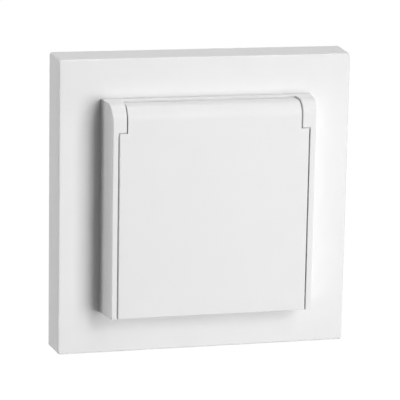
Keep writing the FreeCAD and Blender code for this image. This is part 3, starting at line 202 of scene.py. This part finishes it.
def bright_steel(name):
    """The hinge pin and the springs."""
    return metal(
        name, dark=(0.60, 0.60, 0.61), pale=(0.70, 0.70, 0.71), smooth=0.18, rough=0.3,
        grain=9000.0, height=1.0e-6,
    )


def zinc_steel(name):
    """The support ring, the rivets and the screws: dull plating."""
    return metal(
        name, dark=(0.52, 0.53, 0.55), pale=(0.62, 0.63, 0.65), smooth=0.42, rough=0.56,
        grain=5000.0, height=2.0e-6, edge=1.2e-4,
    )


def nickel_brass(name):
    """The earth bracket with its clips."""
    return metal(
        name, dark=(0.64, 0.62, 0.57), pale=(0.68, 0.66, 0.61), smooth=0.26, rough=0.34,
        grain=6000.0, height=6.0e-7, edge=8.0e-5,
    )


def brass(name):
    """The contacts and the terminals."""
    return metal(
        name, dark=(0.62, 0.44, 0.18), pale=(0.69, 0.50, 0.22), smooth=0.28, rough=0.4,
        grain=6000.0, height=1.5e-6, edge=8.0e-5,
    )


def make_materials():
    """One material for each slot of the record, named after it."""
    makers = (
        white_plastic, white_gloss_plastic, seal_rubber, shutter_plastic, base_plastic,
        bright_steel, zinc_steel, nickel_brass, brass,
    )
    return {maker.__name__: maker(maker.__name__) for maker in makers}


def dress_nodes(materials):
    for name, node in NODES.items():
        material = materials[SLOT_OF[name]]
        if not node.material_slots:
            node.data.materials.append(material)
        for slot in node.material_slots:
            slot.material = material


def add_camera():
    """The photo's camera: level along its aim, then rolled."""
    right = CAMERA_AIM.cross(Vector((0.0, 0.0, 1.0))).normalized()
    up = right.cross(CAMERA_AIM)
    side = math.cos(CAMERA_ROLL) * right + math.sin(CAMERA_ROLL) * up
    top = math.cos(CAMERA_ROLL) * up - math.sin(CAMERA_ROLL) * right
    data = bpy.data.cameras.new("camera")
    data.lens = LENS
    data.sensor_width = SENSOR
    camera = bpy.data.objects.new("camera", data)
    turn = Matrix((side, top, -CAMERA_AIM)).transposed().to_4x4()
    camera.matrix_world = Matrix.Translation(CAMERA_PLACE) @ turn
    bpy.context.scene.collection.objects.link(camera)
    bpy.context.scene.camera = camera


def add_lamp(name, azimuth, elevation, distance, width, height, power):
    """An area lamp aimed at the origin, with angles in degrees, sizes in metres and power in watts.

    Azimuth 0 is in front of the part, and positive angles lie to the right seen from there.
    """
    turn = math.radians(azimuth)
    rise = math.radians(elevation)
    way = Vector((
        math.sin(turn) * math.cos(rise), -math.cos(turn) * math.cos(rise), math.sin(rise)
    ))
    data = bpy.data.lights.new(name, "AREA")
    data.shape = "RECTANGLE"
    data.size = width
    data.size_y = height
    data.energy = power
    lamp = bpy.data.objects.new(name, data)
    lamp.location = way * distance
    lamp.rotation_euler = way.to_track_quat("Z", "Y").to_euler()
    bpy.context.scene.collection.objects.link(lamp)


def add_lamps():
    """Two keys from the front right, two strips from the left, one from above and one for the rear."""
    add_lamp("key", azimuth=26.0, elevation=7.0, distance=1.1, width=0.5, height=0.9, power=10.3)
    add_lamp("key_high", azimuth=19.0, elevation=34.0, distance=1.1, width=0.24, height=0.6, power=2.5)
    add_lamp("left", azimuth=-102.0, elevation=4.0, distance=0.6, width=0.13, height=0.5, power=1.18)
    add_lamp("left_back", azimuth=-120.0, elevation=4.0, distance=0.6, width=0.06, height=0.5, power=0.52)
    add_lamp("top", azimuth=180.0, elevation=86.0, distance=0.6, width=0.4, height=0.12, power=1.52)
    add_lamp("back", azimuth=180.0, elevation=-5.0, distance=1.1, width=0.14, height=0.2, power=4.6)


def larger(tree, first, first_output, second, second_output):
    """The larger of two nodes' outputs."""
    either = tree.nodes.new("ShaderNodeMath")
    either.operation = "MAXIMUM"
    link(tree, first, first_output, either, 0)
    link(tree, second, second_output, either, 1)
    return either


def white_for_camera(tree, path):
    """1 for rays that see the background straight on, in a reflection or through glass, else 0."""
    seen = larger(tree, path, "Is Camera Ray", path, "Is Glossy Ray")
    return larger(tree, seen, "Value", path, "Is Transmission Ray")


def room_white(tree, path):
    """White for the camera. Reflections see it dimmer on the side where the camera stands."""
    place = tree.nodes.new("ShaderNodeTexCoord")
    parts = tree.nodes.new("ShaderNodeSeparateXYZ")
    link(tree, place, "Generated", parts, "Vector")
    level = map_range(tree, parts, "Y", ROOM_DIM_BELOW_Y, ROOM_FULL_ABOVE_Y, ROOM_DIM, ROOM_FULL)
    return larger(tree, level, "Result", path, "Is Camera Ray")


def background(tree):
    node = tree.nodes.new("ShaderNodeBackground")
    node.inputs["Color"].default_value = BACKGROUND_WHITE
    return node


def choose(tree, share, first, first_output, second, second_output):
    """The first shader where share is 0, the second where it is 1, and a mix between."""
    mix = tree.nodes.new("ShaderNodeMixShader")
    link(tree, share, "Value", mix, 0)
    link(tree, first, first_output, mix, 1)
    link(tree, second, second_output, mix, 2)
    return mix


def add_world():
    """A room that is white to look at, and lights the part by WORLD_LIGHT alone."""
    world = bpy.data.worlds.new("studio")
    world.use_nodes = True
    tree = world.node_tree
    tree.nodes.clear()
    output = tree.nodes.new("ShaderNodeOutputWorld")
    path = tree.nodes.new("ShaderNodeLightPath")
    falling = background(tree)
    falling.inputs["Strength"].default_value = WORLD_LIGHT
    white = background(tree)
    link(tree, room_white(tree, path), "Value", white, "Strength")
    seen = white_for_camera(tree, path)
    mix = choose(tree, seen, falling, "Background", white, "Background")
    link(tree, mix, "Shader", output, "Surface")
    bpy.context.scene.world = world


def floor_material():
    """Pale matt paper. Its glow makes it white to the camera and in reflections, and lights nothing."""
    material, tree, shader = new_material("floor")
    tint(tree, shader, noise(tree, FLOOR_TINT_SCALE), FLOOR_DARK, FLOOR_PALE)
    shader.inputs["Roughness"].default_value = FLOOR_ROUGHNESS
    glow = tree.nodes.new("ShaderNodeEmission")
    glow.inputs["Strength"].default_value = 1.0 / FLOOR_GLOW_SHARE
    share = tree.nodes.new("ShaderNodeMath")
    share.operation = "MULTIPLY"
    share.inputs[1].default_value = FLOOR_GLOW_SHARE
    path = tree.nodes.new("ShaderNodeLightPath")
    link(tree, white_for_camera(tree, path), "Value", share, 0)
    mix = choose(tree, share, shader, "BSDF", glow, "Emission")
    link(tree, mix, "Shader", tree.nodes["Material Output"], "Surface")
    return material


def add_floor():
    half = FLOOR_SIZE / 2
    mesh = bpy.data.meshes.new("floor")
    corners = [(-half, -half, 0), (half, -half, 0), (half, half, 0), (-half, half, 0)]
    mesh.from_pydata(corners, [], [(0, 1, 2, 3)])
    mesh.materials.append(floor_material())
    floor = bpy.data.objects.new("floor", mesh)
    floor.location = (0.0, 0.0, -FLOOR_DROP)
    bpy.context.scene.collection.objects.link(floor)


bpy.context.scene.view_settings.view_transform = "Standard"
add_camera()
add_world()
add_floor()
add_lamps()
dress_nodes(make_materials())
